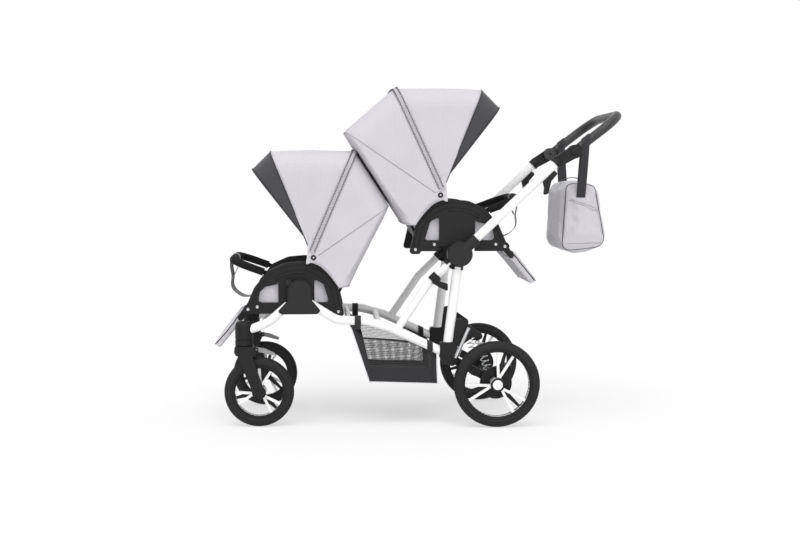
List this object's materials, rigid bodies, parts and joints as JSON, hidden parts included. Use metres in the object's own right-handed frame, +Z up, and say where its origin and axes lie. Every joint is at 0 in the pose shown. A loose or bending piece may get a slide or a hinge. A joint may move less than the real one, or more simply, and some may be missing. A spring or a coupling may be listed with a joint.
{
  "type": "tandem twin pram",
  "caption": "Folding tandem pram: a rear seat facing the parent above a front seat facing forward, hoods, bumper bars, basket, bag, and sprung wheels.",
  "frame": {"origin": "floor level, at the middle of the footprint's length and width", "axes": "+X towards the parent and the push handle, +Y across to the right as seen from the parent's left side, +Z up"},
  "size_m": [1.4321, 0.601, 1.1762],
  "materials": {
    "white_paint": "smooth satin powder coat",
    "black_plastic": "fine-grained moulded",
    "charcoal_plastic": "smooth matt moulded",
    "grey_plastic": "fine-grained moulded",
    "steel": "bright zinc plated",
    "bow_steel": "plain drawn wire",
    "basket_cloth": "woven, with a mesh window",
    "grip_leatherette": "pebbled, stitched",
    "bumper_foam": "textured foam",
    "grey_cloth": "melange weave",
    "visor_cloth": "melange weave",
    "webbing": "flat woven",
    "tyre": "moulded tread"
  },
  "bodies": {
    "chassis": {"lower_tubes": "white_paint", "brace_tubes": "white_paint", "rear_legs": "white_paint", "cross_tubes": "white_paint", "fold_hubs": "charcoal_plastic", "front_seat_hubs": "charcoal_plastic", "swivel_housings": "black_plastic", "rear_brackets": "black_plastic", "basket": "basket_cloth", "lock_collar": "black_plastic", "shock_struts": "steel", "shock_springs": "steel"},
    "transport_lock": {"transport_lock": "black_plastic"},
    "push_frame": {"push_arms": "white_paint", "fold_covers": "charcoal_plastic", "handle_brackets": "black_plastic"},
    "fold_trigger_left": {"fold_trigger_left": "black_plastic"},
    "fold_trigger_right": {"fold_trigger_right": "black_plastic"},
    "handle": {"handle_bar": "grip_leatherette"},
    "tilt_button_left": {"tilt_button_left": "black_plastic"},
    "tilt_button_right": {"tilt_button_right": "black_plastic"},
    "bag": {"bag_body": "grey_cloth", "bag_straps": "webbing"},
    "rear_axle": {"rear_axle": "black_plastic"},
    "brake_pedal": {"brake_pedal": "charcoal_plastic"},
    "fork_left": {"fork_left": "black_plastic"},
    "swivel_lock_left": {"swivel_lock_left": "grey_plastic"},
    "front_wheel_left": {"front_rim_left": "black_plastic", "front_tyre_left": "tyre"},
    "rear_wheel_left": {"rear_rim_left": "black_plastic", "rear_tyre_left": "tyre"},
    "fork_right": {"fork_right": "black_plastic"},
    "swivel_lock_right": {"swivel_lock_right": "grey_plastic"},
    "front_wheel_right": {"front_rim_right": "black_plastic", "front_tyre_right": "tyre"},
    "rear_wheel_right": {"rear_rim_right": "black_plastic", "rear_tyre_right": "tyre"},
    "front_seat": {"front_seat_frame": "black_plastic", "front_seat_pad": "grey_cloth", "front_hood_mid_bow": "bow_steel", "front_hood_back": "grey_cloth", "front_hood_front": "grey_cloth", "front_bumper_strap": "webbing"},
    "front_back": {"front_backrest": "grey_cloth"},
    "front_calf": {"front_calf_rest": "grey_cloth"},
    "front_bumper": {"front_bumper_bar": "bumper_foam"},
    "front_hood": {"front_hood_front_bow": "bow_steel", "front_hood_visor": "visor_cloth"},
    "rear_seat": {"rear_seat_frame": "black_plastic", "rear_seat_pad": "grey_cloth", "rear_hood_mid_bow": "bow_steel", "rear_hood_back": "grey_cloth", "rear_hood_front": "grey_cloth", "rear_bumper_strap": "webbing"},
    "rear_back": {"rear_backrest": "grey_cloth"},
    "rear_calf": {"rear_calf_rest": "grey_cloth"},
    "rear_bumper": {"rear_bumper_bar": "bumper_foam"},
    "rear_hood": {"rear_hood_front_bow": "bow_steel", "rear_hood_visor": "visor_cloth"}
  },
  "joints": [
    {"name": "handle_fold", "type": "hinge", "parent": "chassis", "child": "push_frame", "pos_m": [0.13556, 0, 0.6], "axis": [0, -1, 0], "range_deg": [0, 40]},
    {"name": "handle_tilt", "type": "hinge", "parent": "push_frame", "child": "handle", "pos_m": [0.53158, 0, 0.95296], "axis": [0, -1, 0], "range_deg": [-25, 25], "deforming": ["bag_straps"]},
    {"name": "bag_swing", "type": "hinge", "parent": "handle", "child": "bag", "pos_m": [0.57125, 0, 0.9834], "axis": [0, -1, 0], "range_deg": [-30, 30]},
    {"name": "fold_trigger_left_slide", "type": "slide", "parent": "push_frame", "child": "fold_trigger_left", "axis": [0.7278, 0, 0.6858], "range_m": [0, 0.012], "stiffness_N_per_m": 300},
    {"name": "tilt_button_left_press", "type": "slide", "parent": "push_frame", "child": "tilt_button_left", "axis": [0, 1, 0], "range_m": [0, 0.004], "stiffness_N_per_m": 400},
    {"name": "front_swivel_left", "type": "hinge", "parent": "chassis", "child": "fork_left", "pos_m": [-0.61144, -0.212, 0.282], "axis": [0, 0, 1], "continuous": true},
    {"name": "swivel_lock_left_lever", "type": "hinge", "parent": "fork_left", "child": "swivel_lock_left", "pos_m": [-0.56844, -0.212, 0.27], "axis": [0, -1, 0], "range_deg": [0, 20]},
    {"name": "front_wheel_left_spin", "type": "hinge", "parent": "fork_left", "child": "front_wheel_left", "pos_m": [-0.56044, -0.212, 0.121], "axis": [0, 1, 0], "continuous": true},
    {"name": "rear_wheel_left_spin", "type": "hinge", "parent": "rear_axle", "child": "rear_wheel_left", "pos_m": [0.26256, -0.272, 0.15], "axis": [0, 1, 0], "continuous": true},
    {"name": "fold_trigger_right_slide", "type": "slide", "parent": "push_frame", "child": "fold_trigger_right", "axis": [0.7278, 0, 0.6858], "range_m": [0, 0.012], "stiffness_N_per_m": 300},
    {"name": "tilt_button_right_press", "type": "slide", "parent": "push_frame", "child": "tilt_button_right", "axis": [0, -1, 0], "range_m": [0, 0.004], "stiffness_N_per_m": 400},
    {"name": "front_swivel_right", "type": "hinge", "parent": "chassis", "child": "fork_right", "pos_m": [-0.61144, 0.212, 0.282], "axis": [0, 0, 1], "continuous": true},
    {"name": "swivel_lock_right_lever", "type": "hinge", "parent": "fork_right", "child": "swivel_lock_right", "pos_m": [-0.56844, 0.212, 0.27], "axis": [0, -1, 0], "range_deg": [0, 20]},
    {"name": "front_wheel_right_spin", "type": "hinge", "parent": "fork_right", "child": "front_wheel_right", "pos_m": [-0.56044, 0.212, 0.121], "axis": [0, 1, 0], "continuous": true},
    {"name": "rear_wheel_right_spin", "type": "hinge", "parent": "rear_axle", "child": "rear_wheel_right", "pos_m": [0.26256, 0.272, 0.15], "axis": [0, 1, 0], "continuous": true},
    {"name": "rear_suspension", "type": "hinge", "parent": "chassis", "child": "rear_axle", "pos_m": [0.11056, 0, 0.232], "axis": [0, -1, 0], "range_deg": [0, 4], "stiffness_Nm_per_rad": 300, "springref_deg": -6.88, "deforming": ["shock_springs"]},
    {"name": "brake_pedal_tip", "type": "hinge", "parent": "rear_axle", "child": "brake_pedal", "pos_m": [0.26256, 0, 0.15], "axis": [0, 1, 0], "range_deg": [0, 14]},
    {"name": "transport_lock_hook", "type": "hinge", "parent": "chassis", "child": "transport_lock", "pos_m": [0.04987, -0.236, 0.51507], "axis": [0, -1, 0], "range_deg": [0, 40]},
    {"name": "front_seat_lift", "type": "slide", "parent": "chassis", "child": "front_seat", "axis": [0.7071, 0, -0.7071], "range_m": [-0.1, 0]},
    {"name": "rear_seat_lift", "type": "slide", "parent": "chassis", "child": "rear_seat", "axis": [0, 0, -1], "range_m": [-0.14, 0]},
    {"name": "front_recline", "type": "hinge", "parent": "front_seat", "child": "front_back", "pos_m": [-0.29644, 0, 0.447], "axis": [0, -1, 0], "range_deg": [0, 16]},
    {"name": "front_calf_lift", "type": "hinge", "parent": "front_seat", "child": "front_calf", "pos_m": [-0.59844, 0, 0.407], "axis": [0, 1, 0], "range_deg": [0, 50]},
    {"name": "front_bumper_slide", "type": "slide", "parent": "front_seat", "child": "front_bumper", "axis": [-0.9397, 0, 0.342], "range_m": [0, 0.06], "deforming": ["front_bumper_strap"]},
    {"name": "front_hood_fold", "type": "hinge", "parent": "front_seat", "child": "front_hood", "pos_m": [-0.37044, 0, 0.587], "axis": [0, 1, 0], "range_deg": [0, 35], "deforming": ["front_hood_front"]},
    {"name": "rear_recline", "type": "hinge", "parent": "rear_seat", "child": "rear_back", "pos_m": [-0.00344, 0, 0.663], "axis": [0, 1, 0], "range_deg": [0, 16]},
    {"name": "rear_calf_lift", "type": "hinge", "parent": "rear_seat", "child": "rear_calf", "pos_m": [0.29856, 0, 0.623], "axis": [0, -1, 0], "range_deg": [0, 50]},
    {"name": "rear_bumper_slide", "type": "slide", "parent": "rear_seat", "child": "rear_bumper", "axis": [0.9397, 0, 0.342], "range_m": [0, 0.06], "deforming": ["rear_bumper_strap"]},
    {"name": "rear_hood_fold", "type": "hinge", "parent": "rear_seat", "child": "rear_hood", "pos_m": [0.07056, 0, 0.803], "axis": [0, -1, 0], "range_deg": [0, 35], "deforming": ["rear_hood_front"]}
  ],
  "couplings": [
    {"joint": "bag_swing", "follows": "handle_tilt", "ratio": -1}
  ]
}
